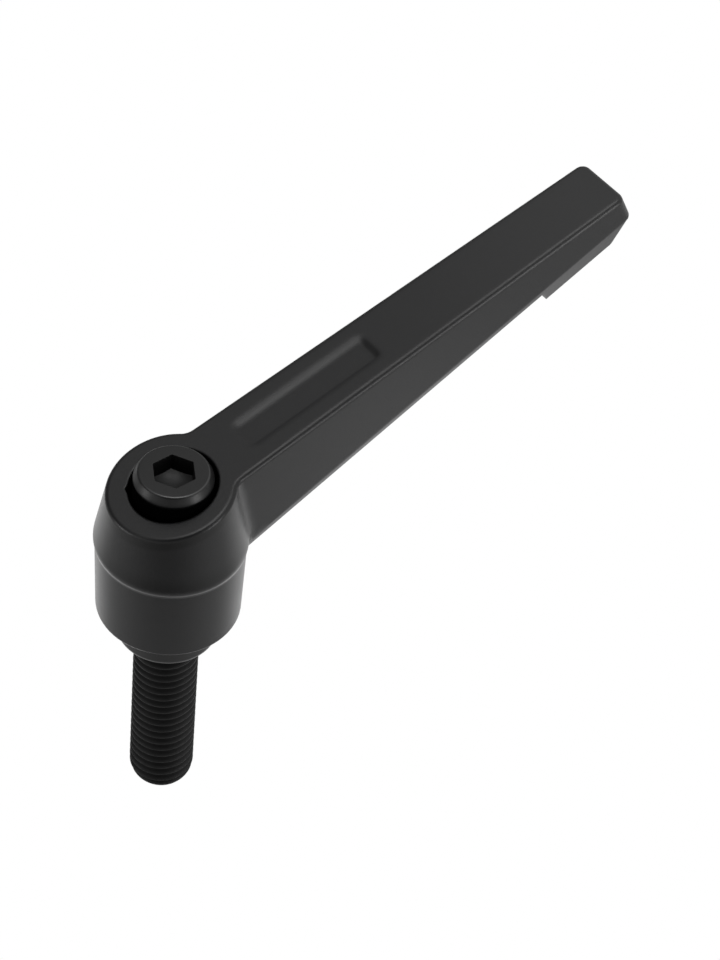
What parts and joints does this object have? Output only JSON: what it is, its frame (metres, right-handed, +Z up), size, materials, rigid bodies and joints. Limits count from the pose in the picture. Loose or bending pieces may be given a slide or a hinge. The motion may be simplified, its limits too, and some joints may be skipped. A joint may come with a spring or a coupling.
{
  "type": "adjustable clamping lever",
  "caption": "Black adjustable clamping lever: conical hub with a rising flat arm and finger grip, spring-loaded indexing teeth, socket screw and a threaded stud below.",
  "frame": {"origin": "on the stud's axis, at the face of the collar that bears on the clamped work", "axes": "+Z up the stud's axis towards the screw's head, +X along the arm towards its tip"},
  "size_m": [0.0941, 0.023, 0.0831],
  "materials": {
    "powder_coat": "fine textured black powder coat on zinc die casting",
    "black_insert": "blackened turned steel",
    "black_steel": "blackened steel thread",
    "black_screw": "blackened, smooth screw head",
    "spring_steel": "bare spring wire"
  },
  "bodies": {
    "insert": {"toothed_insert": "black_insert", "threaded_stud": "black_steel", "retaining_screw": "black_screw"},
    "spring": {"spring": "spring_steel"},
    "lever": {"lever": "powder_coat"}
  },
  "joints": [
    {"name": "turn", "type": "hinge", "parent": "insert", "child": "spring", "pos_m": [0, 0, 0], "axis": [0, 0, 1], "continuous": true},
    {"name": "lift", "type": "slide", "parent": "spring", "child": "lever", "axis": [0, 0, 1], "range_m": [0, 0.004], "stiffness_N_per_m": 1500, "springref_m": -0.004, "deforming": ["spring"]}
  ]
}
